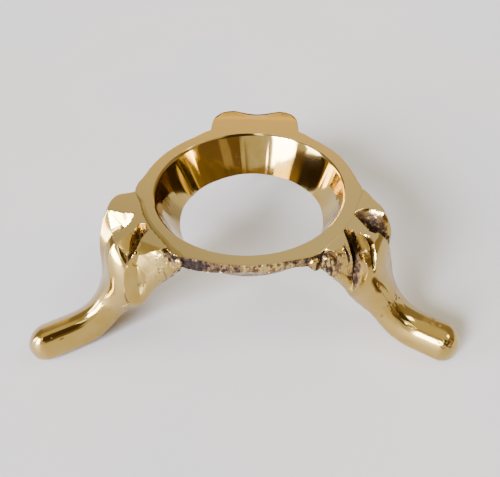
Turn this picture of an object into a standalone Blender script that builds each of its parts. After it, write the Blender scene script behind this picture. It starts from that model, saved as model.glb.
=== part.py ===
"""Small brass ring stand on three cabriole legs, for a ball, an egg or a round-bottomed ornament.

Metres, +Z up, floor at z = 0.  Everything hangs from one empty on the ring's axis.  The empty is
moved back so that the middle of the stand's footprint is at the origin.  A leg is modelled along +X
from the ring's axis, as a casting with its machined faces, and then turned to each of its places.
"""

import math

import bmesh
import bpy
import numpy as np

# ---- driving dimensions -------------------------------------------------------------------------

STAND_HEIGHT = 0.0220  # floor to the ring's ground top face
TOE_REACH = 0.0413  # ring axis to the centre of a toe's round end
LEG_AZIMUTHS = {"rear": 90.0, "left": 210.0, "right": 330.0}  # degrees about the ring's axis

SEAT_MOUTH_RADIUS = 0.0175  # the conical seat, at the top face
SEAT_THROAT_RADIUS = 0.0140  # the conical seat, at the lower lip
RING_OUTER_RADIUS = 0.0199
RING_DEPTH = 0.0080  # top face to lower lip
RING_EDGE_HEIGHT = 0.0028  # upright band round the outside, above the sloping underside
RING_LIP_WIDTH = 0.0008  # flat lip round the throat
RIM_CHAMFER = 0.0003  # broken edge between the seat and the top face

KNEE_OVERHANG = 0.0091  # how far the knee would stand out past the ring if it were square
KNEE_DROP = 0.0051  # top face to the turn of the knee
KNEE_DEPTH = 0.0080  # top face to the knee's underside, where the leg meets the ring
KNEE_HALF_WIDTH = 0.0092
ROOT_LENGTH = 0.0026  # how far the leg reaches in under the ring
SHIN_OVERHANG = 0.0095  # the shin's front, past the ring's outside
SHIN_DROP = 0.0096  # and below the top face
SHIN_SLOPE = 65.0  # degrees below level
CALF_THICKNESS = 0.0074  # shin to calf
CALF_LEAN = 22.0  # degrees from upright, of the line from shin to calf
CALF_SLOPE = 40.0  # degrees below level, of the leg's back at the calf
HAUNCH = 0.0026  # how far forward and down the back sets out from the root
CURVE_REACH = 0.0050  # length of the handles that round the shin into the knee and the foot
FOOT_HALF_WIDTH = 0.0033
FOOT_THICKNESS = 0.0063
FOOT_LENGTH = 0.0042  # level stretch behind the toe's round end
HEEL_LENGTH = 0.0059  # how far behind that the underside begins to level out
TOE_POINT_HEIGHT = 0.0023  # floor to the toe's foremost point
TOE_CROWN, TOE_HEEL = 1.5, 0.5  # how soon the toe's top and underside turn in: more is sooner
TAPER_START, TAPER_END = 0.3, 1.3  # where the knee narrows, in curves along the leg
SQUARENESS = 2.8  # of the sections: 2 is an ellipse, more is squarer
KNEE_KEEL = 1.6  # the same for the knee's underside, which is more of a keel
GRIND_ALLOWANCE = 0.0020  # the casting's height over the top face before that is ground flat
SOLE_ALLOWANCE = 0.0003  # and its depth under the floor before the soles are ground flat

GROOVE_SIDE = 0.0029  # each groove's distance from the leg's centre plane, at its upper end
GROOVE_CONVERGENCE = 0.55  # share of that distance left at its lower end
GROOVE_START = 0.0004  # past the ring's outside
GROOVE_DROP = 0.0126  # top face to the lower end, where it runs out on the shin
GROOVE_BED = 0.0040  # how far its bed lies behind the knee's turn
GROOVE_LEAD = 0.0010  # how far behind that it goes down from the top face
GROOVE_FACES = (70.0, 20.0)  # degrees above level that it opens towards, at its upper and lower ends
GROOVE_HALF_ANGLE = 19.0
GROOVE_CUTTER_LENGTH = 0.0070

TENON_WIDTH = 0.0070
TENON_HEIGHT = 0.0010
TENON_LENGTH = 0.0017  # inside the ring's outer radius
TENON_TOP = 0.0009  # top face to the tenon's upper side
TENON_ROOT = 0.0012  # run-back into the leg

BRAZE_RADIUS = 0.0005
BRAZE_TOP = 0.0006  # top face to the upper ends of the braze, in the corners beside the knee
BRAZE_BEND = 0.0012  # radius at which it turns from under the ring up into those corners
BRAZE_TIP = ((0.45, 0.88), (0.85, 0.5))  # past each end: how far on, and how thick, in bar radii

JOINT_GAP = 0.0003  # between neighbouring pieces
SOCKET_GAP = 0.0003  # all round a tenon

RING_SEGMENTS = 96
SECTION_POINTS = 24
CURVE_STATIONS = 9
TOE_ANGLES = (22.0, 42.0, 58.0, 72.0, 84.0)
GROOVE_STATIONS = 9
BRAZE_SIDES = 8
BRAZE_STATIONS = 15
BRAZE_BEND_STATIONS = 4
OVERCUT = 0.0050  # how far a cutter passes the face it cuts


# ---- scene and mesh helpers ---------------------------------------------------------------------


def clear_scene():
    for obj in list(bpy.data.objects):
        bpy.data.objects.remove(obj, do_unlink=True)


def brass(name, colour, roughness):
    """A metal finish of one colour and roughness."""
    material = bpy.data.materials.new(name)
    material.use_nodes = True
    shader = material.node_tree.nodes["Principled BSDF"]
    shader.inputs["Base Color"].default_value = (*colour, 1.0)
    shader.inputs["Metallic"].default_value = 1.0
    shader.inputs["Roughness"].default_value = roughness
    return material


def link(name, mesh):
    obj = bpy.data.objects.new(name, mesh)
    bpy.context.scene.collection.objects.link(obj)
    return obj


def mesh_from(name, bm):
    """The bmesh as a mesh with its faces pointing out."""
    bmesh.ops.recalc_face_normals(bm, faces=bm.faces)
    mesh = bpy.data.meshes.new(name)
    bm.to_mesh(mesh)
    bm.free()
    return mesh


def skinned(name, sections):
    """A closed solid through a row of closed sections, each with the same number of points."""
    bm = bmesh.new()
    loops = [[bm.verts.new(point) for point in section] for section in sections]
    count = len(loops[0])
    for near, far in zip(loops, loops[1:]):
        for i in range(count):
            j = (i + 1) % count
            bm.faces.new((near[i], near[j], far[j], far[i]))
    bm.faces.new(loops[0])
    bm.faces.new(loops[-1])
    return mesh_from(name, bm)


def turned(name, profile):
    """A closed profile of (radius, height) points, turned round the z axis."""
    angles = np.linspace(0.0, 2.0 * math.pi, RING_SEGMENTS, endpoint=False)
    bm = bmesh.new()
    loops = [
        [bm.verts.new((radius * math.cos(a), radius * math.sin(a), height)) for a in angles]
        for radius, height in profile
    ]
    for near, far in zip(loops, loops[1:] + loops[:1]):
        for i in range(RING_SEGMENTS):
            j = (i + 1) % RING_SEGMENTS
            bm.faces.new((near[i], near[j], far[j], far[i]))
    return mesh_from(name, bm)


def block(name, low, high):
    """A box between two corners."""
    low, high = np.array(low), np.array(high)
    bm = bmesh.new()
    bmesh.ops.create_cube(bm, size=1.0)
    for vert in bm.verts:
        vert.co = (low + high) / 2.0 + np.array(vert.co) * (high - low)
    return mesh_from(name, bm)


def helper(name, mesh, azimuth=0.0):
    """A cutter or a pattern, which shapes another piece and isn't one itself."""
    obj = link(name, mesh)
    obj.rotation_euler.z = math.radians(azimuth)
    obj.hide_render = True
    obj.display_type = "WIRE"
    return obj


def boolean(obj, other, operation):
    modifier = obj.modifiers.new(other.name, "BOOLEAN")
    modifier.operation = operation
    modifier.solver = "EXACT"
    modifier.object = other


def baked(obj, name):
    """The mesh that the object's modifiers make, with the object and its helpers taken away."""
    bpy.context.view_layer.update()
    graph = bpy.context.evaluated_depsgraph_get()
    mesh = bpy.data.meshes.new_from_object(obj.evaluated_get(graph))
    mesh.name = name
    for used in [modifier.object for modifier in obj.modifiers] + [obj]:
        bpy.data.objects.remove(used, do_unlink=True)
    return mesh


def finish(obj, material, parent, azimuth=0.0):
    """Give a piece its finish, smooth shading between its edges, and its place on the stand."""
    obj.data.materials.clear()
    obj.data.materials.append(material)
    obj.data.shade_smooth()
    obj.data.set_sharp_from_angle(angle=math.radians(35.0))
    obj.rotation_euler.z = math.radians(azimuth)
    obj.parent = parent


# ---- curves -------------------------------------------------------------------------------------


def bezier(p0, p1, p2, p3, t):
    """Points of a cubic curve at the values t."""
    t = np.asarray(t)[:, None]
    p0, p1, p2, p3 = map(np.asarray, (p0, p1, p2, p3))
    return (1 - t) ** 3 * p0 + 3 * (1 - t) ** 2 * t * p1 + 3 * (1 - t) * t**2 * p2 + t**3 * p3


def smoothstep(x):
    x = np.clip(x, 0.0, 1.0)
    return x * x * (3.0 - 2.0 * x)


def polar(length, degrees):
    angle = math.radians(degrees)
    return np.array((length * math.cos(angle), length * math.sin(angle)))


# ---- ring ---------------------------------------------------------------------------------------

TOP = STAND_HEIGHT
LIP_RADIUS = SEAT_THROAT_RADIUS + RING_LIP_WIDTH
EDGE_CORNER = np.array((RING_OUTER_RADIUS, TOP - RING_EDGE_HEIGHT))
LIP_CORNER = np.array((LIP_RADIUS, TOP - RING_DEPTH))
UNDERSIDE = (LIP_CORNER - EDGE_CORNER) / np.linalg.norm(LIP_CORNER - EDGE_CORNER)
UNDERSIDE_NORMAL = np.array((-UNDERSIDE[1], UNDERSIDE[0]))  # out and down


def ring_profile():
    """The ring's section: seat, broken rim, top face, outer band, sloping underside, lip."""
    return (
        (SEAT_THROAT_RADIUS, TOP - RING_DEPTH),
        (SEAT_MOUTH_RADIUS, TOP - RIM_CHAMFER),
        (SEAT_MOUTH_RADIUS + RIM_CHAMFER, TOP),
        (RING_OUTER_RADIUS, TOP),
        tuple(EDGE_CORNER),
        tuple(LIP_CORNER),
    )


def ring_envelope():
    """The room that a leg leaves for the ring: its outside, a joint gap bigger, filled to the axis."""
    near_edge = EDGE_CORNER + UNDERSIDE_NORMAL * JOINT_GAP
    outer = RING_OUTER_RADIUS + JOINT_GAP
    edge = near_edge + UNDERSIDE * (outer - near_edge[0]) / UNDERSIDE[0]
    lip = LIP_CORNER + UNDERSIDE_NORMAL * JOINT_GAP
    centre = SEAT_THROAT_RADIUS / 4.0
    return (
        (centre, TOP + OVERCUT),
        (outer, TOP + OVERCUT),
        tuple(edge),
        tuple(lip),
        (centre, lip[1]),
    )


def tenon_block(name, gap, outer_end):
    """The tongue that locates a leg in the ring, or with a gap all round, the socket for it."""
    upper = TOP - TENON_TOP
    return block(
        name,
        (RING_OUTER_RADIUS - TENON_LENGTH - gap, -TENON_WIDTH / 2.0 - gap, upper - TENON_HEIGHT - gap),
        (outer_end, TENON_WIDTH / 2.0 + gap, upper + gap),
    )


def make_ring(parent, material):
    ring = link("ring", turned("ring", ring_profile()))
    for place, azimuth in LEG_AZIMUTHS.items():
        socket_mesh = tenon_block("socket", SOCKET_GAP, RING_OUTER_RADIUS + OVERCUT)
        socket = helper(f"socket_cutter_{place}", socket_mesh, azimuth)
        socket.parent = parent
        boolean(ring, socket, "DIFFERENCE")
    finish(ring, material, parent)


# ---- leg ----------------------------------------------------------------------------------------


def leg_lines(t):
    """The leg's front and back lines as (reach, height), at t from 0, the root, to 2, the toe."""
    root = RING_OUTER_RADIUS - ROOT_LENGTH
    knee = RING_OUTER_RADIUS + KNEE_OVERHANG
    shin = np.array((RING_OUTER_RADIUS + SHIN_OVERHANG, TOP - SHIN_DROP))
    calf = shin + polar(CALF_THICKNESS, 270.0 - CALF_LEAN)
    along = polar(CURVE_REACH, -SHIN_SLOPE)
    behind = polar(CURVE_REACH, -CALF_SLOPE)
    level = TOE_REACH - FOOT_LENGTH
    cast_top = TOP + GRIND_ALLOWANCE
    upper, lower = t[t <= 1.0], t[t > 1.0] - 1.0
    front = np.vstack((
        bezier((root, cast_top), (knee, cast_top), shin - along, shin, upper),
        bezier(shin, shin + along, (level - FOOT_LENGTH, FOOT_THICKNESS), (level, FOOT_THICKNESS), lower),
    ))
    back = np.vstack((
        bezier((root, TOP - KNEE_DEPTH), (root + HAUNCH, TOP - KNEE_DEPTH - HAUNCH),
               calf - behind, calf, upper),
        bezier(calf, calf + behind, (level - HEEL_LENGTH, -SOLE_ALLOWANCE), (level, -SOLE_ALLOWANCE), lower),
    ))
    return front, back


def narrowing(t):
    """0 across the knee, rising smoothly to 1 at the foot."""
    return smoothstep((t - TAPER_START) / (TAPER_END - TAPER_START))


def section(front, back, half_width, under_squareness):
    """A squared oval whose height runs from the back point to the front point."""
    angles = np.linspace(0.0, 2.0 * math.pi, SECTION_POINTS, endpoint=False)
    cos, sin = np.cos(angles), np.sin(angles)
    power = 2.0 / np.where(sin < 0.0, under_squareness, SQUARENESS)
    across = np.sign(cos) * np.abs(cos) ** power * half_width
    rise = np.sign(sin) * np.abs(sin) ** power
    middle, half = (front + back) / 2.0, (front - back) / 2.0
    in_plane = middle + rise[:, None] * half
    return np.column_stack((in_plane[:, 0], across, in_plane[:, 1]))


def leg_casting():
    """The leg before machining: sections along its two lines, then a round toe."""
    t = np.linspace(0.0, 2.0, 2 * CURVE_STATIONS + 1)
    front, back = leg_lines(t)
    half_width = KNEE_HALF_WIDTH + (FOOT_HALF_WIDTH - KNEE_HALF_WIDTH) * narrowing(t)
    keel = KNEE_KEEL + (SQUARENESS - KNEE_KEEL) * narrowing(t)
    sections = [section(*row) for row in zip(front, back, half_width, keel)]
    for degrees in TOE_ANGLES:
        sin, cos = math.sin(math.radians(degrees)), math.cos(math.radians(degrees))
        reach = TOE_REACH + FOOT_HALF_WIDTH * sin
        upper = TOE_POINT_HEIGHT + (FOOT_THICKNESS - TOE_POINT_HEIGHT) * cos**TOE_CROWN
        lower = TOE_POINT_HEIGHT - (TOE_POINT_HEIGHT + SOLE_ALLOWANCE) * cos**TOE_HEEL
        tip, heel = np.array((reach, upper)), np.array((reach, lower))
        sections.append(section(tip, heel, FOOT_HALF_WIDTH * cos, SQUARENESS))
    return skinned("leg_casting", sections)


def groove_wedge(side):
    """A long wedge whose sharp edge is the bed of the groove on one side of the knee's ridge."""
    t = np.linspace(0.0, 1.0, GROOVE_STATIONS)
    start = np.array((RING_OUTER_RADIUS + GROOVE_START, TOP + JOINT_GAP))
    end = np.array((RING_OUTER_RADIUS + SHIN_OVERHANG + JOINT_GAP, TOP - GROOVE_DROP))
    bend = RING_OUTER_RADIUS + KNEE_OVERHANG - GROOVE_BED
    bed = bezier(start, (bend - GROOVE_LEAD, TOP - KNEE_DROP / 2.0), (bend, TOP - SHIN_DROP), end, t)
    across = side * GROOVE_SIDE * (1.0 + (GROOVE_CONVERGENCE - 1.0) * t)
    half = GROOVE_CUTTER_LENGTH * math.tan(math.radians(GROOVE_HALF_ANGLE))
    faces = np.interp(t, (0.0, 1.0), GROOVE_FACES)
    sections = []
    for (reach, height), y, degrees in zip(bed, across, faces):
        mouth = np.array((reach, height)) + polar(GROOVE_CUTTER_LENGTH, degrees)
        sections.append(
            ((reach, y, height), (mouth[0], y - half, mouth[1]), (mouth[0], y + half, mouth[1]))
        )
    return skinned("groove_wedge", sections)


def braze_path(extra):
    """The braze's line: up one corner beside the knee, along under the ring's edge, up the other.

    It keeps one distance from the ring.  The points are (radius, degrees from the leg, height), and
    past its upper ends the line goes on by extra.
    """
    clear = JOINT_GAP + BRAZE_RADIUS
    outside = RING_OUTER_RADIUS + clear
    corner = math.degrees(math.asin((KNEE_HALF_WIDTH + clear) / outside))
    bend = math.degrees(BRAZE_BEND / outside)
    under = math.degrees(math.atan2(UNDERSIDE_NORMAL[1], UNDERSIDE_NORMAL[0]))
    below = EDGE_CORNER + polar(clear, under)
    run = [(below[0], a, below[1]) for a in np.linspace(bend - corner, corner - bend, BRAZE_STATIONS)]
    rise = []
    for share in np.linspace(0.0, 1.0, BRAZE_BEND_STATIONS + 1)[1:]:
        radius, height = EDGE_CORNER + polar(clear, under * (1.0 - share))
        rise.append((radius, corner - bend * (1.0 - math.sin(share * math.pi / 2.0)), height))
    rise.append((outside, corner, TOP - BRAZE_TOP - BRAZE_RADIUS + extra))
    return [(r, -a, z) for r, a, z in reversed(rise)] + run + rise


def braze_bar(name, radius, extra=0.0):
    """A round bar along the braze's line, with blunt round ends."""
    path = np.array([
        (r * math.cos(math.radians(a)), r * math.sin(math.radians(a)), z)
        for r, a, z in braze_path(extra)
    ])
    up = np.array((0.0, 0.0, radius))
    rows = [(path[0] + up * on, share) for on, share in reversed(BRAZE_TIP)]
    rows += [(point, 1.0) for point in path]
    rows += [(path[-1] + up * on, share) for on, share in BRAZE_TIP]
    points = np.array([point for point, _ in rows])
    tangents = np.gradient(points, axis=0)
    outward = points * (1.0, 1.0, 0.0)
    turns = np.linspace(0.0, 2.0 * math.pi, BRAZE_SIDES, endpoint=False) + math.pi / BRAZE_SIDES
    sections = []
    for (point, share), tangent, out in zip(rows, tangents, outward):
        tangent = tangent / np.linalg.norm(tangent)
        out = out - tangent * out.dot(tangent)
        out = out / np.linalg.norm(out)
        aside = np.cross(tangent, out)
        circle = np.cos(turns)[:, None] * out + np.sin(turns)[:, None] * aside
        sections.append(point + radius * share * circle)
    return skinned(name, sections)


def leg_mesh():
    """The finished leg: the casting, ground flat above and below, grooved, and cut to the ring."""
    leg = helper("leg_pattern", leg_casting())
    far = 2.0 * TOE_REACH
    above = block("above", (-far, -far, TOP), (far, far, TOP + far))
    below = block("below", (-far, -far, -far), (far, far, 0.0))
    envelope = turned("ring_envelope", ring_envelope())
    braze_groove = braze_bar("braze_groove", BRAZE_RADIUS + JOINT_GAP, OVERCUT)
    tenon_root = RING_OUTER_RADIUS + JOINT_GAP + TENON_ROOT
    boolean(leg, helper("groove_near", groove_wedge(-1.0)), "DIFFERENCE")
    boolean(leg, helper("groove_far", groove_wedge(1.0)), "DIFFERENCE")
    boolean(leg, helper("above", above), "DIFFERENCE")
    boolean(leg, helper("below", below), "DIFFERENCE")
    boolean(leg, helper("ring_envelope", envelope), "DIFFERENCE")
    boolean(leg, helper("braze_groove", braze_groove), "DIFFERENCE")
    boolean(leg, helper("tenon", tenon_block("tenon", 0.0, tenon_root)), "UNION")
    return baked(leg, "leg")


# ---- the stand ----------------------------------------------------------------------------------


def make_stand():
    clear_scene()
    ground_brass = brass("ground_brass", (0.63, 0.50, 0.29), 0.28)
    polished_brass = brass("polished_brass", (0.66, 0.48, 0.23), 0.18)
    braze_filler = brass("braze_filler", (0.55, 0.45, 0.28), 0.35)

    stand = link("stand", None)
    stand.location.y = -TOE_REACH / 4.0  # puts the middle of the three toes' footprint at the origin

    make_ring(stand, ground_brass)
    leg_shape = leg_mesh()
    braze_shape = braze_bar("braze", BRAZE_RADIUS)
    for place, azimuth in LEG_AZIMUTHS.items():
        finish(link(f"leg_{place}", leg_shape), polished_brass, stand, azimuth)
        finish(link(f"braze_{place}", braze_shape), braze_filler, stand, azimuth)


make_stand()
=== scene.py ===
"""A cast brass ring stand on three cabriole legs: its finished surfaces, metals, light and camera."""
import math

import bpy
import numpy as np
from mathutils import Matrix, Vector


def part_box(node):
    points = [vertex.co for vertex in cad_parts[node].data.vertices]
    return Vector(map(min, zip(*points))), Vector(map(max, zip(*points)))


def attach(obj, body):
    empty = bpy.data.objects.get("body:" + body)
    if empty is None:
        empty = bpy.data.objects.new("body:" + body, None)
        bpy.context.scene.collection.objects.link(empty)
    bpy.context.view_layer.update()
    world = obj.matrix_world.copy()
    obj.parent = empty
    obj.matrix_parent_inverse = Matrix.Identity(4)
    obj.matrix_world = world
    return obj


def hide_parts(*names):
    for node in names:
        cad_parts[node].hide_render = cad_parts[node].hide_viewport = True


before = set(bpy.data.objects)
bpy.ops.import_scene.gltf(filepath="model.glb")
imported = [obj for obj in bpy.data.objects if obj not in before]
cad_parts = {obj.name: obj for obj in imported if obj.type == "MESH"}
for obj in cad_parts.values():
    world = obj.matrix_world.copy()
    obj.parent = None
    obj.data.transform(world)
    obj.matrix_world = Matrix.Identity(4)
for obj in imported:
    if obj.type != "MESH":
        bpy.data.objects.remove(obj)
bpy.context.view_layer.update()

# ---- sizes, in metres unless said ---------------------------------------------------------------

RING_LOW, RING_HIGH = (np.array(corner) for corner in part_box("ring"))
AXIS = (RING_LOW + RING_HIGH)[:2] / 2.0
TOP = float(RING_HIGH[2])
RING_DEPTH = TOP - float(RING_LOW[2])
R = 0.0175  # mouth of the seat, the unit that the shapes below are drawn in
THROAT = 0.0140
LIP_WIDTH = 0.0011
RIM_CHAMFER = 0.00025
SEAT_SWELL = 0.00010
BAND_SWELL = 0.00008
LEGS = {"rear": 90.0, "left": 210.0, "right": 330.0}
KNEE_RISE = 0.0020  # a leg is drawn this far over the ring's top, then ground down to it
SOLE = -0.0003  # and this far under the table, then ground flat
FOOT_START = 2.12 * R
TOE_REACH = 0.0413
TOE_POINT = 0.0023
TOE_CROWN, TOE_HEEL = 1.2, 0.5  # powers that shape the toe's top and underside
FOOT_HALF_WIDTH = 0.0033
FOOT_THICKNESS = 0.0063
FOOT_CROWN, FOOT_KEEL = 2.2, 2.8  # how square the foot is above and below
SEAM = 0.0003  # a knee starts this far inside the ring's outer radius
UNDER_TOP = 0.0005  # and further in, its root stays this far under the ring's top
HAIR = 0.00001  # keeps a leg's ground top under the ring's, and its sole off the table: they share no face
MM = 0.001


# ---- numbers ------------------------------------------------------------------------------------

LATTICE_SIZE = 32
LATTICE = np.random.default_rng(7).random((LATTICE_SIZE,) * 3)


def smoothstep(x):
    """3 x^2 - 2 x^3 between 0 and 1, and flat beyond them."""
    x = np.clip(x, 0.0, 1.0)
    return x * x * (3.0 - 2.0 * x)


def value_noise(points, cell, offset=0.0):
    """Random numbers on a cubic lattice of pitch cell, blended smoothly between; 0 to 1."""
    p = points / cell + offset
    base = np.floor(p).astype(int)
    blend = smoothstep(p - base)
    total = np.zeros(points.shape[:-1])
    for corner in range(8):
        step = np.array((corner & 1, corner >> 1 & 1, corner >> 2 & 1))
        weight = np.prod(np.where(step, blend, 1.0 - blend), axis=-1)
        i, j, k = np.moveaxis((base + step) % LATTICE_SIZE, -1, 0)
        total += weight * LATTICE[i, j, k]
    return total


def fractal(points, cell, octaves=3, offset=0.0):
    """Value noise plus half as much at half the pitch, and so on; about -1 to 1."""
    total = np.zeros(points.shape[:-1])
    for octave in range(octaves):
        total += (value_noise(points, cell / 2**octave, offset + 9.3 * octave) * 2.0 - 1.0) / 2**octave
    return total


def bezier(points, t):
    """A cubic curve through the first and last of four points, at the values t."""
    p0, p1, p2, p3 = (np.asarray(p, float) for p in points)
    t = np.asarray(t)[:, None]
    return (1 - t) ** 3 * p0 + 3 * (1 - t) ** 2 * t * p1 + 3 * (1 - t) * t**2 * p2 + t**3 * p3


def through(knots, x):
    """A smooth curve y(x) through knots of (x, y, ...): Hermite pieces with averaged slopes."""
    knots = np.asarray(knots, float)
    kx, ky = knots[:, 0], knots[:, 1:]
    slope = np.gradient(ky, kx, axis=0)
    x = np.clip(x, kx[0], kx[-1])
    i = np.clip(np.searchsorted(kx, x) - 1, 0, len(kx) - 2)
    h = kx[i + 1] - kx[i]
    s = ((x - kx[i]) / h)[..., None]
    h = h[..., None]
    return (
        (1 + 2 * s) * (1 - s) ** 2 * ky[i]
        + s * (1 - s) ** 2 * h * slope[i]
        + s * s * (3 - 2 * s) * ky[i + 1]
        + s * s * (s - 1) * h * slope[i + 1]
    )


def grid_normals(points):
    """Unit normals of a grid closed in its second direction, from its central differences."""
    along = np.gradient(points, axis=0)
    around = np.roll(points, -1, axis=1) - np.roll(points, 1, axis=1)
    normal = np.cross(around, along)
    return normal / (np.linalg.norm(normal, axis=-1, keepdims=True) + 1e-15)


# ---- marks on the metal -------------------------------------------------------------------------

UPRIGHT = 0.16  # heights are shrunk to this before noise is read, which draws its marks out upwards
CAST_GRAIN, CAST_PIT = 0.00010, 0.00010  # relief of a leg's rough faces
RIPPLE, KNEE_RIPPLE = 0.00002, 0.00004  # relief left by polishing, everywhere and near the knee
STRAY_PIT = 0.00007  # depth of the pits left in polished faces
EDGE_SCORE, EDGE_GRAIN, EDGE_PIT = 0.00009, 0.00004, 0.00013  # relief of the ring's outer edge
UNDERSIDE_GRAIN = 0.00003
BRAZE_GRAIN, BRAZE_SCORE = 0.00006, 0.00006


def spots(points, cell, offset, start, run):
    """Value noise cut off below start and blended in over run: separate rounded spots, 0 to 1."""
    return smoothstep((value_noise(points, cell, offset) - start) / run)


def upright_scores(points):
    """Noise drawn out upwards, as scored or scraped metal shows; about -1 to 1."""
    return fractal(points * np.array((1.0, 1.0, UPRIGHT)), 0.00035, 3, 1.0)


def scorched(points):
    """Patches of brown left by the torch: broad noise, cut so that most of the surface is clean."""
    return smoothstep((fractal(points, 0.006, 3, 2.0) - 0.25) / 0.5)


# ---- meshes -------------------------------------------------------------------------------------


def closed_tube(name, points, layers, ends=True):
    """A mesh from a grid closed in its second direction; layers are named numbers per point.

    With ends, the first and last rows are closed onto one point each. Without, the grid is closed
    in its first direction too, as a ring is. A point that isn't a number stops the script.
    """
    if not np.isfinite(points).all():
        raise ValueError(f"{name} has points that are not numbers")
    rows, columns = points.shape[:2]
    i, j = np.meshgrid(np.arange(rows if not ends else rows - 1), np.arange(columns), indexing="ij")
    i2, j2 = (i + 1) % rows, (j + 1) % columns
    quads = np.stack((i * columns + j, i2 * columns + j, i2 * columns + j2, i * columns + j2), -1)
    vertices = points.reshape(-1, 3)
    faces = [tuple(quad) for quad in quads.reshape(-1, 4).tolist()]
    values = {key: layer.reshape(-1) for key, layer in layers.items()}
    if ends:
        count = len(vertices)
        vertices = np.vstack((vertices, points[0].mean(0), points[-1].mean(0)))
        last = (rows - 1) * columns
        faces += [(count, j, (j + 1) % columns) for j in range(columns)]
        faces += [(count + 1, last + (j + 1) % columns, last + j) for j in range(columns)]
        values = {
            key: np.append(value, (layers[key][0].mean(), layers[key][-1].mean()))
            for key, value in values.items()
        }
    mesh = bpy.data.meshes.new(name)
    mesh.from_pydata(vertices.tolist(), [], faces)
    for key, value in values.items():
        mesh.attributes.new(key, "FLOAT", "POINT").data.foreach_set("value", value.astype(np.float32))
    if signed_volume(mesh) < 0.0:
        mesh.flip_normals()
    mesh.shade_smooth()
    obj = bpy.data.objects.new(name, mesh)
    bpy.context.scene.collection.objects.link(obj)
    return obj


def signed_volume(mesh):
    """Six times the volume inside, positive when the faces point out.

    It is the sum of a . (b x c) over every triangle's corners a, b and c.
    """
    mesh.calc_loop_triangles()
    corners = np.empty(len(mesh.loop_triangles) * 3, np.int32)
    mesh.loop_triangles.foreach_get("vertices", corners)
    points = np.empty(len(mesh.vertices) * 3, np.float32)
    mesh.vertices.foreach_get("co", points)
    a, b, c = points.reshape(-1, 3)[corners.reshape(-1, 3)].astype(float).transpose(1, 0, 2)
    return float(np.einsum("ij,ij->", a, np.cross(b, c)))


# ---- ring ---------------------------------------------------------------------------------------


def leg_distance(azimuth):
    """Degrees from each azimuth to the nearest leg."""
    apart = [np.abs((azimuth - at + 180.0) % 360.0 - 180.0) for at in LEGS.values()]
    return np.min(apart, axis=0)


def ring_radius(azimuth):
    """The ring's outer radius: 1.135 R, and 0.018 R less at the front, both eased in and out by bells.

    It flares by 0.045 R at 27 degrees to either side of a leg, where the knee leaves it.
    """
    from_leg = leg_distance(azimuth)
    front = np.exp(-(((azimuth - 270.0) / 26.0) ** 2))
    flare = 0.045 * np.exp(-(((from_leg - 27.0) / 8.0) ** 2))
    return R * (1.135 - 0.018 * front + flare)


def band_height(azimuth):
    """How tall the upright edge is: thinnest in front, where the underside has been fettled."""
    knots = ((0.0, 2.6), (236.0, 2.5), (248.0, 2.8), (260.0, 2.1), (271.0, 1.6), (282.0, 2.1),
             (290.0, 1.8), (304.0, 2.4), (360.0, 2.6))
    return MM * through(knots, azimuth)[..., 0]


def edge_tarnish(azimuth):
    """How dark the upright edge is, 0 to 1: brightest in front, where it has been rubbed."""
    knots = ((0.0, 0.7), (232.0, 1.0), (250.0, 0.9), (258.0, 0.72), (272.0, 0.36), (284.0, 0.50),
             (296.0, 0.72), (306.0, 0.95), (360.0, 0.7))
    return through(knots, azimuth)[..., 0]


def outer_corner(azimuth):
    """Radius of the corner between top and edge: almost sharp, but worn round beside the left leg."""
    return 0.00006 + 0.00085 * (smoothstep((azimuth - 186.0) / 10.0) * smoothstep((243.0 - azimuth) / 6.0))


def facets(azimuth, rng, count, depth):
    """A scraped cone's waviness: straight lines between uneven knots round the circle."""
    knots = np.sort((np.arange(count) + rng.uniform(-0.32, 0.32, count)) * 360.0 / count)
    heights = rng.uniform(-1.0, 1.0, count) * depth
    return np.interp(azimuth, knots, heights, period=360.0)


COARSE_SCRAPE, FINE_SCRAPE = (26, 0.00011), (67, 0.00004)  # facets round the seat, and their depth

# The parts of the ring's section, in order, with the number of rows in each.
RING_SECTION = (
    ("seat", 24), ("rim", 3), ("top", 10), ("corner", 5), ("band", 22), ("underside", 16), ("lip", 4),
)


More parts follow.
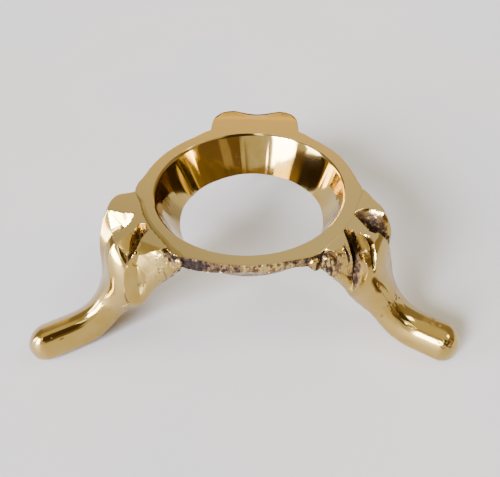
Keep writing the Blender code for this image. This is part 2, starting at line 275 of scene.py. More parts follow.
def make_ring():
    """The ring's section carried round its axis.

    The section runs up the conical seat, which swells by half a sine, over a broken rim, across the
    ground top, round the corner, down the rough outer band, in along the cast underside and across
    the lip. Its outer radius, its corner and the band's height follow the azimuth. The seat is scraped
    in uneven facets, and the outside is moved along its normal by upright scores, grain and pits.
    """
    azimuth = np.linspace(0.0, 360.0, 1080, endpoint=False)
    outer = ring_radius(azimuth)
    band = band_height(azimuth)
    rng = np.random.default_rng(11)
    scraped = facets(azimuth, rng, *COARSE_SCRAPE) + facets(azimuth, rng, *FINE_SCRAPE)
    corner = outer_corner(azimuth)
    drop = corner * 0.3  # the corner falls less than it runs in
    mouth = R - RIM_CHAMFER
    lip_radius = THROAT + LIP_WIDTH
    rows, kinds = [], []
    for kind, count in RING_SECTION:
        for share in np.linspace(0.0, 1.0, count, endpoint=False):
            if kind == "seat":
                swell = SEAT_SWELL * math.sin(share * math.pi)
                radius = THROAT + (mouth - THROAT) * share + swell + scraped * (1.0 - share**4)
                height = -RING_DEPTH + (RING_DEPTH - RIM_CHAMFER) * share
            elif kind == "rim":
                radius, height = mouth + RIM_CHAMFER * share, -RIM_CHAMFER * (1.0 - share)
            elif kind == "top":
                radius, height = R + (outer - corner - R) * share, 0.0
            elif kind == "corner":
                turn = share * math.pi / 2.0
                radius = outer - corner * (1.0 - math.sin(turn))
                height = -drop * (1.0 - math.cos(turn))
            elif kind == "band":
                radius = outer + BAND_SWELL * math.sin(share * math.pi)
                height = -(drop + (band - drop) * share)
            elif kind == "underside":
                radius = outer + (lip_radius - outer) * share
                height = -(band + (RING_DEPTH - band) * share**1.12)
            else:
                radius = lip_radius + (THROAT - lip_radius) * share + scraped * share
                height = -RING_DEPTH
            rows.append(np.stack(np.broadcast_arrays(radius, height, azimuth)[:2], -1))
            kinds.append(kind)
    section = np.array(rows)
    kinds = np.array(kinds)
    turn = np.radians(azimuth)
    points = np.stack((
        AXIS[0] + section[..., 0] * np.cos(turn),
        AXIS[1] + section[..., 0] * np.sin(turn),
        TOP + section[..., 1],
    ), -1)
    ones = np.ones_like(azimuth)
    edge = (kinds == "band")[:, None] * ones
    below = (kinds == "underside")[:, None] * ones
    normal = grid_normals(points)
    core = np.stack((AXIS[0] + R * np.cos(turn), AXIS[1] + R * np.sin(turn), (TOP - 2.0 * MM) * ones), -1)
    normal *= np.sign(np.sum(normal * (points - core), -1))[..., None]
    unrolled = np.stack((section[..., 0] * 0.0 + turn * R, points[..., 2] * UPRIGHT, 0.0 * edge), -1)
    scores = fractal(unrolled, 0.00042, 3, 1.0)
    grain = fractal(points, 0.0006, 3)
    pits = spots(points, 0.00040, 3.1, 0.60, 0.2)
    relief = edge * (EDGE_SCORE * scores + EDGE_GRAIN * grain - EDGE_PIT * pits)
    relief += below * UNDERSIDE_GRAIN * grain
    points += normal * relief[..., None]
    blotch = fractal(points, 0.0013, 3, 5.0)
    patina = edge * np.clip(edge_tarnish(azimuth) + 0.15 * scores + 0.30 * blotch + 0.4 * pits, 0.0, 1.0)
    patina += below * np.clip(0.62 + 0.2 * blotch, 0.0, 1.0)
    patina += (kinds == "seat")[:, None] * 0.22 * scorched(points)
    layers = {"patina": patina, "cast": edge + 0.6 * below, "ground": (kinds == "top")[:, None] * ones}
    ring = closed_tube("ring_finished", points, layers, ends=False)
    ring.data.set_sharp_from_angle(angle=math.radians(30.0))
    return ring


# ---- legs ---------------------------------------------------------------------------------------

# A stroke is a groove drawn on a leg: rows of (distance, side, half width towards +side, half width
# towards -side, depth), all in units of R. The distance runs from the ring's axis along the leg's
# front line, so on the flat top it is simply the radius; the side is measured across the leg.

MAIN_GROOVE = 1  # its place among the strokes of a front leg


def stroke(rows, shape=1.0, stain=1.0, hollow=False):
    """One groove: its rows, how it falls to its edges (see carve), and how dark it is left."""
    return {"rows": np.array(rows, float), "shape": shape, "stain": stain, "hollow": hollow}


# Each leg's own shape, lengths in units of R unless said otherwise:
# shoulder: how far out the knee's curve is drawn; minus, plus: half widths of the knee, in mm; foot:
# half widths of the foot, in mm; ear: (swelling in mm, where along the leg, spread); narrow: where each
# side starts and ends narrowing, as t; roll: sideways slope of the shin; fall: (reach, side, outward
# share, sideways share, drop, run) of the slope past the ground top; crown, keel: how square each side
# is above and below; grind: how far the flat top lies under the ring's, in m; cast_to: where the rough
# skin beside the ring ends.
LEG_SHAPES = {
    "rear": {
        "shoulder": 1.92, "minus": 9.5, "plus": 9.5, "foot": (3.3, 3.3), "ear": (0.0, 1.2, 0.1),
        "narrow": ((0.40, 1.30), (0.40, 1.30)), "roll": 0.0, "fall": (1.27, 0.0, 1.0, 0.0, 0.030, 0.20),
        "crown": (5.0, 5.0), "keel": (1.6, 1.6), "grind": HAIR, "cast_to": 1.40,
        "strokes": (
            # the dip between two lobes, on the far side only
            stroke((
                (1.30, 0.0, 0.30, 0.30, 0.0), (1.46, 0.0, 0.35, 0.35, 0.04),
                (1.60, 0.0, 0.37, 0.37, 0.07), (1.80, 0.0, 0.30, 0.30, 0.06),
                (2.05, 0.0, 0.20, 0.20, 0.0),
            ), stain=0.0, hollow=True),
        ),
    },
    "left": {
        "shoulder": 1.66, "minus": 9.4, "plus": 9.2, "foot": (3.3, 3.2), "ear": (-1.4, 1.30, 0.12),
        "narrow": ((0.30, 1.26), (0.32, 1.30)), "roll": 0.45, "fall": (1.20, 0.28, 0.83, 0.56, 0.15, 0.28),
        "crown": (2.7, 2.0), "keel": (1.6, 2.1), "grind": 0.00007, "cast_to": 1.28,
        "strokes": (
            # bright hollow between the rear ear and the ridge
            stroke((
                (1.186, -0.165, 0.005, 0.005, 0.0), (1.25, -0.115, 0.03, 0.10, 0.09),
                (1.32, -0.07, 0.035, 0.19, 0.16), (1.40, -0.04, 0.04, 0.29, 0.21),
                (1.50, -0.02, 0.045, 0.32, 0.20), (1.65, -0.02, 0.06, 0.26, 0.12),
                (1.85, 0.0, 0.08, 0.20, 0.04), (2.0, 0.0, 0.08, 0.10, 0.0),
            ), stain=0.0, hollow=True),
            # groove between the ridge and the front ear, square and dark at its head
            stroke((
                (1.14, 0.08, 0.05, 0.05, 0.08), (1.18, 0.075, 0.07, 0.07, 0.12),
                (1.28, 0.165, 0.07, 0.065, 0.14), (1.40, 0.27, 0.055, 0.055, 0.13),
                (1.50, 0.32, 0.04, 0.045, 0.11), (1.60, 0.35, 0.03, 0.03, 0.08),
                (1.70, 0.355, 0.02, 0.02, 0.0),
            ), shape=0.5, stain=0.8),
            # below its head the groove opens into a long bright flank on the ridge's side
            stroke((
                (1.28, 0.15, 0.03, 0.08, 0.0), (1.42, 0.27, 0.04, 0.15, 0.10),
                (1.58, 0.335, 0.04, 0.18, 0.09), (1.76, 0.35, 0.035, 0.17, 0.06),
                (1.95, 0.32, 0.03, 0.13, 0.025), (2.12, 0.27, 0.03, 0.10, 0.0),
            ), stain=0.0),
        ),
    },
    "right": {
        "shoulder": 1.64, "minus": 8.5, "plus": 9.2, "foot": (4.0, 3.3), "ear": (1.7, 1.06, 0.15),
        "narrow": ((0.18, 1.22), (0.12, 1.04)), "roll": -0.30, "fall": (1.20, -0.33, 0.80, -0.60, 0.14, 0.26),
        "crown": (2.4, 2.7), "keel": (1.6, 1.6), "grind": HAIR, "cast_to": 1.40,
        "strokes": (
            # broad hollow between the ridge and the rear ear
            stroke((
                (1.115, 0.164, 0.005, 0.005, 0.0), (1.165, 0.15, 0.11, 0.025, 0.07),
                (1.23, 0.115, 0.20, 0.03, 0.14), (1.30, 0.085, 0.235, 0.04, 0.19),
                (1.37, 0.06, 0.265, 0.045, 0.21), (1.46, 0.075, 0.245, 0.045, 0.21),
                (1.56, 0.105, 0.22, 0.045, 0.19), (1.70, 0.13, 0.20, 0.05, 0.12),
                (1.90, 0.15, 0.12, 0.05, 0.0),
            ), stain=0.86, hollow=True),
            # main groove on the front side, ending in a pit
            stroke((
                (1.135, -0.10, 0.02, 0.02, 0.07), (1.20, -0.135, 0.065, 0.06, 0.15),
                (1.30, -0.237, 0.07, 0.065, 0.18), (1.42, -0.333, 0.07, 0.065, 0.18),
                (1.50, -0.384, 0.07, 0.07, 0.17), (1.60, -0.41, 0.085, 0.08, 0.16),
                (1.66, -0.43, 0.08, 0.07, 0.13), (1.71, -0.44, 0.03, 0.03, 0.0),
            ), shape=0.55),
            # dull gold between that groove and the ridge
            stroke((
                (1.25, -0.10, 0.02, 0.03, 0.0), (1.31, -0.13, 0.05, 0.08, 0.012),
                (1.40, -0.20, 0.06, 0.09, 0.016), (1.55, -0.30, 0.07, 0.09, 0.012),
                (1.70, -0.36, 0.04, 0.05, 0.0),
            ), stain=1.3, hollow=True),
            # narrow groove beside the ridge
            stroke((
                (1.28, -0.065, 0.01, 0.01, 0.0), (1.37, -0.09, 0.03, 0.02, 0.07),
                (1.46, -0.16, 0.045, 0.03, 0.12), (1.56, -0.235, 0.045, 0.03, 0.12),
                (1.66, -0.262, 0.03, 0.03, 0.07), (1.72, -0.27, 0.02, 0.02, 0.0),
            )),
            # crescent in the front ear
            stroke((
                (1.20, -0.27, 0.01, 0.01, 0.0), (1.30, -0.345, 0.02, 0.03, 0.06),
                (1.39, -0.40, 0.02, 0.03, 0.06), (1.45, -0.44, 0.01, 0.01, 0.0),
            )),
            # short nick at the front ear's edge
            stroke((
                (1.10, -0.46, 0.03, 0.02, 0.0), (1.18, -0.44, 0.03, 0.02, 0.06),
                (1.28, -0.46, 0.03, 0.02, 0.07), (1.40, -0.50, 0.02, 0.02, 0.0),
            ), stain=0.8),
            # crease down the shin
            stroke((
                (1.86, -0.25, 0.01, 0.01, 0.0), (1.97, -0.212, 0.035, 0.012, 0.018),
                (2.10, -0.175, 0.05, 0.012, 0.022), (2.30, -0.152, 0.06, 0.012, 0.025),
                (2.45, -0.155, 0.05, 0.012, 0.016), (2.62, -0.165, 0.02, 0.01, 0.0),
            ), stain=0.5),
        ),
    },
}


def leg_lines(t, shoulder):
    """The leg's front and back lines as (reach, height) at t from 0, the root, to 2, the foot."""
    rise = TOP + KNEE_RISE
    front_upper = ((1.04 * R, rise), (shoulder * R, rise), (1.56 * R, TOP - 0.29 * R),
                   (1.68 * R, TOP - 0.55 * R))
    front_lower = ((1.68 * R, TOP - 0.55 * R), (1.80 * R, TOP - 0.81 * R), (1.95 * R, FOOT_THICKNESS),
                   (FOOT_START, FOOT_THICKNESS))
    back_upper = ((1.00 * R, TOP - 0.45 * R), (1.12 * R, TOP - 0.58 * R), (1.37 * R, TOP - 0.82 * R),
                  (1.52 * R, TOP - 0.94 * R))
    back_lower = ((1.52 * R, TOP - 0.94 * R), (1.67 * R, TOP - 1.06 * R), (1.82 * R, SOLE), (2.10 * R, SOLE))
    upper, lower = t[t <= 1.0], t[t > 1.0] - 1.0
    front = np.vstack((bezier(front_upper, upper), bezier(front_lower, lower)))
    back = np.vstack((bezier(back_upper, upper), bezier(back_lower, lower)))
    return front, back


def leg_base(shape):
    """The plain leg in its own axes (reach, side, height), with its distance along the front.

    Ovals stand on the leg's front and back lines. Each quarter is |cos|^(2/n), |sin|^(2/n), squarer for
    a bigger n, with n the crown above and the keel below. They are broad at the knee, narrow to the
    foot, and close over a round toe.
    """
    t = np.concatenate((np.linspace(0.0, 1.0, 176, endpoint=False), np.linspace(1.0, 2.0, 56)))
    front, back = leg_lines(t, shape["shoulder"])
    thins = [smoothstep((t - start) / (end - start)) for start, end in shape["narrow"]]
    swell, place, spread = shape["ear"]
    bulge = MM * swell * np.exp(-(((front[:, 0] / R - place) / spread) ** 2)) * (t < 1.0)
    feet = [MM * width for width in shape["foot"]]
    widths = [foot + (shape[side] * MM - foot) * (1.0 - narrowed)
              for side, narrowed, foot in zip(("minus", "plus"), thins, feet)]
    widths = [widths[0] + np.maximum(-bulge, 0.0), widths[1] + np.maximum(bulge, 0.0)]
    reach = np.linspace(FOOT_START, TOE_REACH, 14)[1:]
    level = np.ones_like(reach)
    turn = np.radians(np.linspace(0.0, 89.0, 34))[1:]
    keels = [
        np.concatenate((keel + (FOOT_KEEL - keel) * thins[0],
                        FOOT_KEEL * level, FOOT_KEEL * np.ones_like(turn)))
        for keel in shape["keel"]
    ]
    front = np.vstack((
        front,
        np.column_stack((reach, FOOT_THICKNESS * level)),
        np.column_stack((TOE_REACH + FOOT_HALF_WIDTH * np.sin(turn),
                         TOE_POINT + (FOOT_THICKNESS - TOE_POINT) * np.cos(turn) ** TOE_CROWN)),
    ))
    back = np.vstack((
        back,
        np.column_stack((reach, SOLE * level)),
        np.column_stack((TOE_REACH + FOOT_HALF_WIDTH * np.sin(turn),
                         TOE_POINT - (TOE_POINT - SOLE) * np.cos(turn) ** TOE_HEEL)),
    ))
    widths = [np.concatenate((w, foot * level, foot * np.cos(turn))) for w, foot in zip(widths, feet)]
    angle = np.concatenate((
        np.linspace(0.0, math.pi, 208, endpoint=False),
        np.linspace(math.pi, 2.0 * math.pi, 132, endpoint=False),
    ))
    cos, sin = np.cos(angle), np.sin(angle)
    crowns = [
        np.concatenate((crown + (FOOT_CROWN - crown) * smoothstep(t - 0.7),
                        FOOT_CROWN * level, FOOT_CROWN * np.ones_like(turn)))
        for crown in shape["crown"]
    ]
    crown = np.where(cos > 0.0, crowns[1][:, None], crowns[0][:, None])
    keel = np.where(cos > 0.0, keels[1][:, None], keels[0][:, None])
    power = np.where(sin < 0.0, 2.0 / keel, 2.0 / crown)
    across = np.sign(cos) * np.abs(cos) ** power
    rise = np.sign(sin) * np.abs(sin) ** power
    half_width = np.where(cos > 0.0, widths[1][:, None], widths[0][:, None])
    middle, half = (front + back) / 2.0, (front - back) / 2.0
    points = np.stack((
        middle[:, 0, None] + rise * half[:, 0, None],
        across * half_width,
        middle[:, 1, None] + rise * half[:, 1, None],
    ), -1)
    rolled = shape["roll"] * smoothstep((front[:, 0] / R - 1.35) / 0.35)[:, None]
    points[..., 2] += rolled * np.maximum(sin, 0.0) * points[..., 1]
    steps = np.hypot(*np.diff(front, axis=0).T)
    distance = front[0, 0] + np.concatenate(((0.0,), np.cumsum(steps)))
    return points, distance[:, None] * np.ones_like(sin), sin


def carve(distance, side, facing, strokes):
    """How deep the strokes cut at each point, and how dark they leave it.

    Each stroke is a strip about a smooth line along the leg. Its depth falls from the line to the
    strip's edges: straight for a V, rounder for a smaller shape number, as a sine for a hollow. Where
    strokes cross, the deepest and the darkest count.
    """
    depth = np.zeros_like(distance)
    stain = np.zeros_like(distance)
    for cut in strokes:
        rows = cut["rows"] * R
        line, plus, minus, deep = np.moveaxis(through(rows, distance), -1, 0)
        inside = (distance > rows[0, 0]) & (distance < rows[-1, 0]) & (facing > 0.0)
        offset = side - line
        width = np.maximum(np.where(offset > 0.0, plus, minus), 1e-6)
        share = np.clip(1.0 - np.abs(offset) / width, 0.0, 1.0)
        fall = np.sin(share * math.pi / 2.0) if cut["hollow"] else share**cut["shape"]
        here = np.where(inside, deep * fall, 0.0)
        depth = np.maximum(depth, here)
        edge = 5.0 if cut["hollow"] else 1.6
        dark = np.where(inside, smoothstep(share * edge), 0.0) * cut["stain"]
        stain = np.maximum(stain, dark * smoothstep(np.maximum(deep, 0.0) / (0.05 * R)))
    return depth, stain


def ear_fall(points, shape):
    """How far the knee drops away past the edge of its ground top; on a front leg, only its front ear.

    The drop eases in over a run outwards from a slanting line, and out again over 2.2 runs. It fades
    across the main groove and towards the leg's lower half.
    """
    reach, side, out, across, drop, run = shape["fall"]
    past = ((points[..., 0] - reach * R) * out + (points[..., 1] - side * R) * across) / R
    fallen = drop * R * smoothstep(past / run) * (1.0 - smoothstep((past - run) / (2.2 * run)))
    if across:
        line = through(shape["strokes"][MAIN_GROOVE]["rows"] * R, points[..., 0])[..., 0]
        fallen *= smoothstep((points[..., 1] - line) * np.sign(across) / (0.12 * R) - 0.1)
    return fallen * smoothstep((points[..., 2] - TOP + 0.75 * R) / (0.3 * R))


def make_leg(place, azimuth):
    """One leg: the plain leg ground flat above and below, then carved, roughened and set at its azimuth.

    Inside the ring's outer radius the leg's top is kept just below the ring's.
    """
    shape = LEG_SHAPES[place]
    points, distance, facing = leg_base(shape)
    normal = grid_normals(points)
    normal *= np.sign(np.sum(normal * (points - points.mean(1, keepdims=True)), -1).mean())
    flat_height = TOP - shape["grind"]
    ground = points[..., 2] > flat_height
    points[..., 2] = np.clip(points[..., 2], HAIR, flat_height)
    depth, stain = carve(distance, points[..., 1], facing * np.ones_like(distance), shape["strokes"])
    depth = np.maximum(depth, ear_fall(points, shape))
    up = np.where(ground[..., None], np.array((0.0, 0.0, 1.0)), normal)
    points -= up * depth[..., None]
    seed = azimuth / 10.0
    rough = smoothstep(stain * 1.4)
    grain_broad = fractal(points, 0.0022, 2, seed + 7.0)
    near_ring = smoothstep((shape["cast_to"] * R - points[..., 0]) / (0.20 * R) + 0.4 * grain_broad)
    near_ring *= smoothstep((TOP - SEAM - points[..., 2]) / 0.0008)
    rough = np.maximum(rough, near_ring * 0.9)
    under = smoothstep((-facing) * 4.0) * np.ones_like(distance)
    rough = np.maximum(rough, 0.5 * under)
    cut = ~ground | (depth > 1e-5)
    grain = fractal(points, 0.0007, 4, seed)
    wave = fractal(points, 0.0040, 2, seed + 4.0)
    pits = spots(points, 0.0004, seed + 1.0, 0.66, 0.16)
    speckle = spots(points, 0.0030, seed + 2.0, 0.70, 0.15)
    knee = smoothstep((1.95 * R - points[..., 0]) / (0.4 * R))
    push = rough * (CAST_GRAIN * grain - CAST_PIT * pits) + (RIPPLE + KNEE_RIPPLE * knee) * wave
    push -= STRAY_PIT * pits * speckle * (1.0 - rough)
    points += up * np.where(cut, push, 0.0)[..., None]
    points[..., 2] = np.clip(points[..., 2], HAIR, flat_height)
    turn = math.radians(azimuth)
    cos, sin = math.cos(turn), math.sin(turn)
    x = points[..., 0] * cos - points[..., 1] * sin
    y = points[..., 0] * sin + points[..., 1] * cos
    radius = np.hypot(x, y)
    around = np.degrees(np.arctan2(y, x)) % 360.0
    under_ring = radius < ring_radius(around) - SEAM
    z = np.where(under_ring, np.minimum(points[..., 2], TOP - UNDER_TOP), points[..., 2])
    world = np.stack((AXIS[0] + x, AXIS[1] + y, z), -1)
    scores = upright_scores(world)
    notch = near_ring * smoothstep((np.abs(points[..., 1]) / R - 0.36) / 0.08)
    patina = np.clip(stain * (0.9 + 0.35 * grain) + 0.14 * under, 0.0, 1.0)
    patina = np.maximum(patina, np.clip(notch * (0.55 + 0.9 * scores + 0.4 * grain), 0.0, 1.0))
    patina = np.maximum(patina, 0.8 * pits * speckle)
    patina = np.maximum(patina, 0.24 * scorched(world) * smoothstep(facing + 0.2))
    patina = np.where(cut, patina, 0.0)
    layers = {"patina": patina, "cast": np.where(cut, rough, 0.0), "ground": np.where(cut, 0.0, 1.0)}
    leg = closed_tube(f"leg_{place}_finished", world, layers)
    leg.data.set_sharp_from_angle(angle=math.radians(38.0))
    return leg


# ---- braze --------------------------------------------------------------------------------------

BRAZE_LOW, BRAZE_HIGH = -0.0032, -0.0010  # heights from the ring's top
BRAZE_REAR_DROP = 0.0009
BRAZE_CAP = 0.0005
BRAZE_SPREAD = 28.2  # degrees to either side of the leg
BRAZE_RADII = (0.00055, 0.00042)  # at the front and at the rear of a leg


def make_braze(place, azimuth):
    """The filler at one leg: a fillet along the joint that comes up beside the knee on either side.

    A flattened circle is carried along a line that climbs one corner between ring and knee, follows
    the ring's lower edge behind the knee and climbs the other corner. There it broadens, and it ends
    in a round cap. It is scored upright like the ring's edge, and the right leg's ends in a smooth,
    bright bead on its front side.
    """
    s = np.linspace(-1.0, 1.0, 300)
    climb = smoothstep((np.abs(s) - 0.70) / 0.22)
    degrees = BRAZE_SPREAD * np.sign(s) * (1.0 - (1.0 - np.minimum(np.abs(s) / 0.84, 1.0)) ** 1.5)
    front = s > 0.0 if place == "left" else s < 0.0
    tip = np.clip((np.abs(s) - 0.92) / 0.08, 0.0, 1.0)
    height = BRAZE_LOW + (BRAZE_HIGH - np.where(front, 0.0, BRAZE_REAR_DROP) - BRAZE_LOW) * climb
    height += BRAZE_CAP * np.sin(tip * math.pi / 2.0)
    turn = np.radians(azimuth + degrees)
    reach = ring_radius((azimuth + degrees) % 360.0) - 0.0001 + 0.00012 * climb
    centre = np.stack((AXIS[0] + reach * np.cos(turn), AXIS[1] + reach * np.sin(turn), TOP + height), -1)
    tangent = np.gradient(centre, axis=0)
    tangent /= np.linalg.norm(tangent, axis=-1, keepdims=True)
    out = np.stack((np.cos(turn), np.sin(turn), np.zeros_like(turn)), -1)
    out -= tangent * np.sum(out * tangent, -1, keepdims=True)
    out /= np.linalg.norm(out, axis=-1, keepdims=True)
    aside = np.cross(tangent, out)
    bead = np.exp(-(((s + 0.95) / 0.040) ** 2)) if place == "right" else 0.0 * s
    radius = np.where(front, *BRAZE_RADII) * (1.0 + 0.15 * fractal(centre, 0.0012, 2, azimuth))
    radius *= 1.0 + 0.25 * bead
    radius *= np.sqrt(1.0 - tip**2) * 0.98 + 0.02
    broad = 1.0 + 0.9 * climb * (1.0 - bead) * np.where(front, 1.0, 0.4)
    angle = np.linspace(0.0, 2.0 * math.pi, 64, endpoint=False)
    circle = (np.cos(angle)[None, :, None] * out[:, None]
              + (np.sin(angle)[None, :, None] * broad[:, None, None]) * aside[:, None])
    points = centre[:, None] + radius[:, None, None] * circle
    scores = upright_scores(points)
    grain = fractal(points, 0.0005, 3, azimuth)
    points += circle * ((BRAZE_GRAIN * grain + BRAZE_SCORE * scores) * (1.0 - bead[:, None]))[..., None]
    rough = (1.0 - bead)[:, None] * np.ones_like(grain)
    tarnish = np.clip(rough * (0.55 + 0.35 * grain + 0.5 * scores), 0.0, 1.0)
    layers = {"patina": tarnish, "cast": rough, "ground": 0.0 * grain}
    return closed_tube(f"braze_{place}_finished", points, layers)


# ---- materials ----------------------------------------------------------------------------------

LAPPED = (0.455, 0.348, 0.135)  # colour of every ground face
TARNISH = (0.105, 0.058, 0.022)
SCALE = (0.014, 0.009, 0.006)
SATIN = 0.25  # roughness of every ground face


class Nodes:
    """Short ways to add and join a material's nodes."""

    def __init__(self, owner):
        owner.use_nodes = True
        self.tree = owner.node_tree
        self.tree.nodes.clear()

    def add(self, kind, settings=None, **inputs):
        node = self.tree.nodes.new(kind)
        for key, value in (settings or {}).items():
            setattr(node, key, value)
        for key, value in inputs.items():
            self.set(node, key.replace("_", " "), value)
        return node

    def set(self, node, socket, value):
        target = node.inputs[socket]
        if isinstance(value, bpy.types.NodeSocket):
            self.tree.links.new(value, target)
        else:
            target.default_value = value

    def math(self, operation, a, b=0.0, clamp=False):
        node = self.add("ShaderNodeMath", {"operation": operation, "use_clamp": clamp})
        self.set(node, 0, a)
        self.set(node, 1, b)
        return node.outputs[0]

    def mix(self, factor, a, b):
        node = self.add("ShaderNodeMix", {"data_type": "RGBA"})
        self.set(node, 0, factor)
        self.set(node, 6, a)
        self.set(node, 7, b)
        return node.outputs[2]

    def ramp(self, factor, low, high):
        node = self.add("ShaderNodeMapRange", {"interpolation_type": "SMOOTHSTEP"})
        self.set(node, "Value", factor)
        self.set(node, "From Min", low)
        self.set(node, "From Max", high)
        return node.outputs[0]

    def noise(self, vector, scale, detail=4.0, roughness=0.55):
        node = self.add("ShaderNodeTexNoise", Scale=scale, Detail=detail, Roughness=roughness)
        self.tree.links.new(vector, node.inputs["Vector"])
        return node.outputs[0]

    def layer(self, name):
        return self.add("ShaderNodeAttribute", {"attribute_name": name}).outputs["Fac"]


def brass(name, clean, polished):
    """Brass in three states told apart by the mesh's layers.

    Ground faces are satin with fine lapping marks, worked faces are polished with a soft ripple, and
    cast faces are duller and speckled. Where the patina layer plus fine noise passes 0.30 the colour
    goes brown, then black; there the surface is rougher, less metallic and less glossy.
    """
    material = bpy.data.materials.new(name)
    n = Nodes(material)
    place = n.add("ShaderNodeTexCoord").outputs["Object"]
    patina, cast, ground = n.layer("patina"), n.layer("cast"), n.layer("ground")
    cloud = n.noise(place, 260.0, 5.0)
    speck = n.noise(place, 2400.0, 3.0, 0.7)
    stretched = n.add("ShaderNodeMapping")
    n.set(stretched, "Vector", place)
    n.set(stretched, "Rotation", (0.0, 0.0, math.radians(24.0)))
    n.set(stretched, "Scale", (1.0, 14.0, 1.0))
    lapping = n.noise(stretched.outputs[0], 420.0, 6.0, 0.75)
    upright = n.add("ShaderNodeMapping")
    n.set(upright, "Vector", place)
    n.set(upright, "Scale", (1.0, 1.0, UPRIGHT))
    scratches = n.noise(upright.outputs[0], 2600.0, 4.0, 0.6)
    mottle = n.math("ADD", n.math("MULTIPLY", scratches, 0.55), n.math("MULTIPLY", speck, 0.45))
    stain = n.math("MULTIPLY", n.math("SUBTRACT", mottle, 0.5), 2.6)
    fade = n.math("MULTIPLY", n.math("MULTIPLY", patina, n.math("SUBTRACT", 1.25, patina)), 3.0, clamp=True)
    dark = n.ramp(n.math("ADD", patina, n.math("MULTIPLY", stain, fade)), 0.30, 0.66)
    deepest = n.math("ADD", n.math("MULTIPLY", dark, patina), n.math("MULTIPLY", stain, 0.5))
    black = n.ramp(deepest, 0.62, 0.98)
    warm = (clean[0] * 0.93, clean[1] * 0.84, clean[2] * 0.62, 1.0)
    colour = n.mix(n.ramp(cloud, 0.35, 0.75), (*clean, 1.0), warm)
    colour = n.mix(ground, colour, (*LAPPED, 1.0))
    colour = n.mix(dark, colour, (*TARNISH, 1.0))
    colour = n.mix(black, colour, (*SCALE, 1.0))
    roughness = n.mix(ground, (polished,) * 3 + (1.0,), (SATIN,) * 3 + (1.0,))
    roughness = n.math("ADD", roughness, n.math("MULTIPLY", cast, 0.20))
    roughness = n.math("ADD", roughness, n.math("MULTIPLY", dark, 0.22))
    roughness = n.math("ADD", roughness, n.math("MULTIPLY", n.math("SUBTRACT", cloud, 0.5), 0.10), clamp=True)
    lost = n.math("ADD", n.math("MULTIPLY", black, 0.35), n.math("MULTIPLY", dark, 0.45))
    metallic = n.math("SUBTRACT", 1.0, lost)
    height = n.math("MULTIPLY", n.math("MULTIPLY", lapping, ground), 0.10)
    height = n.math("ADD", height, n.math("MULTIPLY", n.math("MULTIPLY", speck, cast), 0.9))
    height = n.math("ADD", height, n.math("MULTIPLY", cloud, 0.25))
    bump = n.add("ShaderNodeBump", Strength=0.55, Distance=0.00007)
    n.set(bump, "Height", height)
    shader = n.add("ShaderNodeBsdfPrincipled")
    n.set(shader, "Base Color", colour)
    n.set(shader, "Roughness", roughness)
    n.set(shader, "Metallic", metallic)
    n.set(shader, "Specular IOR Level", n.math("SUBTRACT", 0.5, n.math("MULTIPLY", dark, 0.45)))
    n.set(shader, "Normal", bump.outputs[0])
    output = n.add("ShaderNodeOutputMaterial")
    n.set(output, "Surface", shader.outputs[0])
    return material


def table_material():
    """Pale matt paint, clouded between two near tones."""
    material = bpy.data.materials.new("pale_table")
    n = Nodes(material)
    shader = n.add("ShaderNodeBsdfPrincipled")
    place = n.add("ShaderNodeTexCoord").outputs["Object"]
    cloud = n.ramp(n.noise(place, 11.0, 2.0), 0.35, 0.65)
    n.set(shader, "Base Color", n.mix(cloud, (0.415, 0.403, 0.340, 1.0), (0.436, 0.412, 0.326, 1.0)))
    n.set(shader, "Roughness", 0.55)
    output = n.add("ShaderNodeOutputMaterial")
    n.set(output, "Surface", shader.outputs[0])
    return material


# ---- stage, light and camera --------------------------------------------------------------------


def make_floor():
    """A plain square table under the stand, far wider than the view."""
    size = 1.5
    mesh = bpy.data.meshes.new("table")
    corners = [(-size, -size, 0.0), (size, -size, 0.0), (size, size, 0.0), (-size, size, 0.0)]
    mesh.from_pydata(corners, [], [(0, 1, 2, 3)])
    mesh.materials.append(table_material())
    table = bpy.data.objects.new("table", mesh)
    bpy.context.scene.collection.objects.link(table)


# What the metal reflects: (azimuth, elevation), (half width, half height), softness, colour; angles in
# degrees. Each patch lies over the ones before it, on walls that turn warmer towards the ceiling.
ROOM = (
    ((200.0, 50.0), (95.0, 13.0), 0.6, (0.76, 0.68, 0.56)),
    ((95.0, 14.0), (34.0, 20.0), 0.6, (2.1, 1.45, 0.50)),
    ((152.0, 22.0), (26.0, 28.0), 0.6, (0.50, 0.44, 0.36)),
    ((28.0, 16.0), (34.0, 26.0), 0.6, (0.55, 0.45, 0.33)),
    ((322.0, 12.0), (40.0, 32.0), 0.4, (0.34, 0.22, 0.11)),
    ((343.0, 16.0), (7.0, 22.0), 0.6, (0.90, 0.65, 0.38)),
    ((306.0, 16.0), (4.0, 20.0), 0.6, (0.75, 0.55, 0.33)),
    ((287.0, 42.0), (24.0, 26.0), 0.5, (0.11, 0.075, 0.047)),
    ((259.0, 46.0), (6.0, 15.0), 0.5, (5.0, 4.9, 4.6)),
    ((10.0, 51.0), (15.0, 8.0), 0.5, (20.0, 20.5, 22.0)),
    ((230.0, 18.0), (15.0, 18.0), 0.25, (44.0, 46.0, 66.0)),
    ((223.0, 32.0), (8.0, 8.0), 0.4, (108.0, 113.0, 158.0)),
    ((191.0, 16.0), (10.0, 16.0), 0.30, (24.0, 25.0, 35.0)),
)


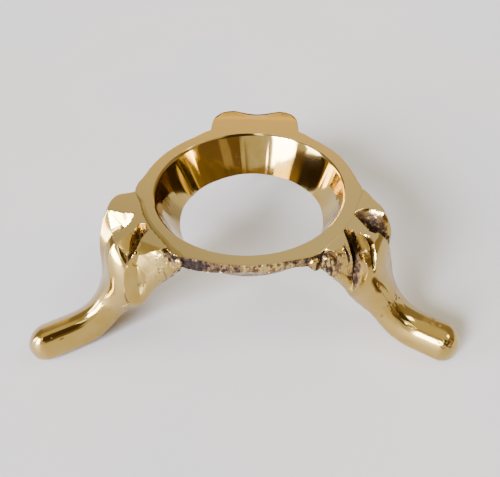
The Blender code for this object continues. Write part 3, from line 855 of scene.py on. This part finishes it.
def make_world():
    """A room seen only by reflection: soft-edged patches of wall, window and furniture.

    A patch covers a direction by smoothstep((1 + softness - q) / (2 softness)), where q is the distance
    from the patch's middle in half widths, to the fourth power, plus that in half heights, likewise.
    """
    world = bpy.data.worlds.new("room")
    n = Nodes(world)
    place = n.add("ShaderNodeTexCoord").outputs["Generated"]
    split = n.add("ShaderNodeSeparateXYZ")
    n.set(split, 0, place)
    x, y, z = split.outputs
    elevation = n.math("MULTIPLY", n.math("ARCSINE", z), 180.0 / math.pi)
    rise = n.math("DIVIDE", elevation, 90.0, clamp=True)
    colour = n.mix(n.ramp(rise, 0.3, 0.75), (1.20, 1.14, 1.05, 1.0), (1.30, 1.16, 0.92, 1.0))
    for (azimuth, middle), (width, height), softness, paint in ROOM:
        turn = math.radians(azimuth)
        cos, sin = math.cos(turn), math.sin(turn)
        ahead = n.math("ADD", n.math("MULTIPLY", x, cos), n.math("MULTIPLY", y, sin))
        aside = n.math("SUBTRACT", n.math("MULTIPLY", y, cos), n.math("MULTIPLY", x, sin))
        bearing = n.math("MULTIPLY", n.math("ARCTAN2", aside, ahead), 180.0 / math.pi / width)
        lift = n.math("MULTIPLY", n.math("SUBTRACT", elevation, middle), 1.0 / height)
        reach = n.math(
            "ADD",
            n.math("POWER", n.math("ABSOLUTE", bearing), 4.0),
            n.math("POWER", n.math("ABSOLUTE", lift), 4.0),
        )
        cover = n.ramp(reach, 1.0 + softness, 1.0 - softness)
        colour = n.mix(cover, colour, (*paint, 1.0))
    shader = n.add("ShaderNodeBackground")
    n.set(shader, "Color", colour)
    output = n.add("ShaderNodeOutputWorld")
    n.set(output, "Surface", shader.outputs[0])
    bpy.context.scene.world = world


def make_camera():
    """A close view from in front and above, a little to the left and slightly tilted."""
    elevation, heading, roll = math.radians(45.45), math.radians(-3.46), 0.05037
    distance, offset_x, offset_y = 4.741 * R, -0.4836 * R, 0.5590 * R
    forward = Vector((0.0, math.cos(elevation), -math.sin(elevation)))
    right = Vector((1.0, 0.0, 0.0))
    up = right.cross(forward)
    tilted_right = math.cos(roll) * right + math.sin(roll) * up
    tilted_up = -math.sin(roll) * right + math.cos(roll) * up
    position = -distance * forward - offset_x * tilted_right - offset_y * tilted_up
    turn = Matrix.Rotation(heading, 3, "Z")
    basis = Matrix((turn @ tilted_right, turn @ tilted_up, turn @ -forward)).transposed()
    data = bpy.data.cameras.new("camera")
    data.sensor_width = 36.0
    data.lens = 32.4
    data.shift_x = -0.0931
    data.clip_start = 0.005
    camera = bpy.data.objects.new("camera", data)
    place = turn @ position + Vector((AXIS[0], AXIS[1], TOP))
    camera.matrix_world = Matrix.Translation(place) @ basis.to_4x4()
    bpy.context.scene.collection.objects.link(camera)
    bpy.context.scene.camera = camera


# ---- the stand ----------------------------------------------------------------------------------


def fit(piece, node, material):
    """Gives a finished piece its metal, hangs it on the root body and hides the CAD node it stands for."""
    piece.data.materials.append(material)
    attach(piece, "root")
    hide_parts(node)


make_camera()
make_floor()
make_world()

ring_brass = brass("ring_brass", (0.455, 0.333, 0.110), 0.08)
leg_brass = brass("leg_brass", (0.435, 0.310, 0.088), 0.13)
braze_brass = brass("braze_filler", (0.42, 0.29, 0.08), 0.15)
fit(make_ring(), "ring", ring_brass)
for leg_place, leg_azimuth in LEGS.items():
    fit(make_leg(leg_place, leg_azimuth), f"leg_{leg_place}", leg_brass)
    fit(make_braze(leg_place, leg_azimuth), f"braze_{leg_place}", braze_brass)
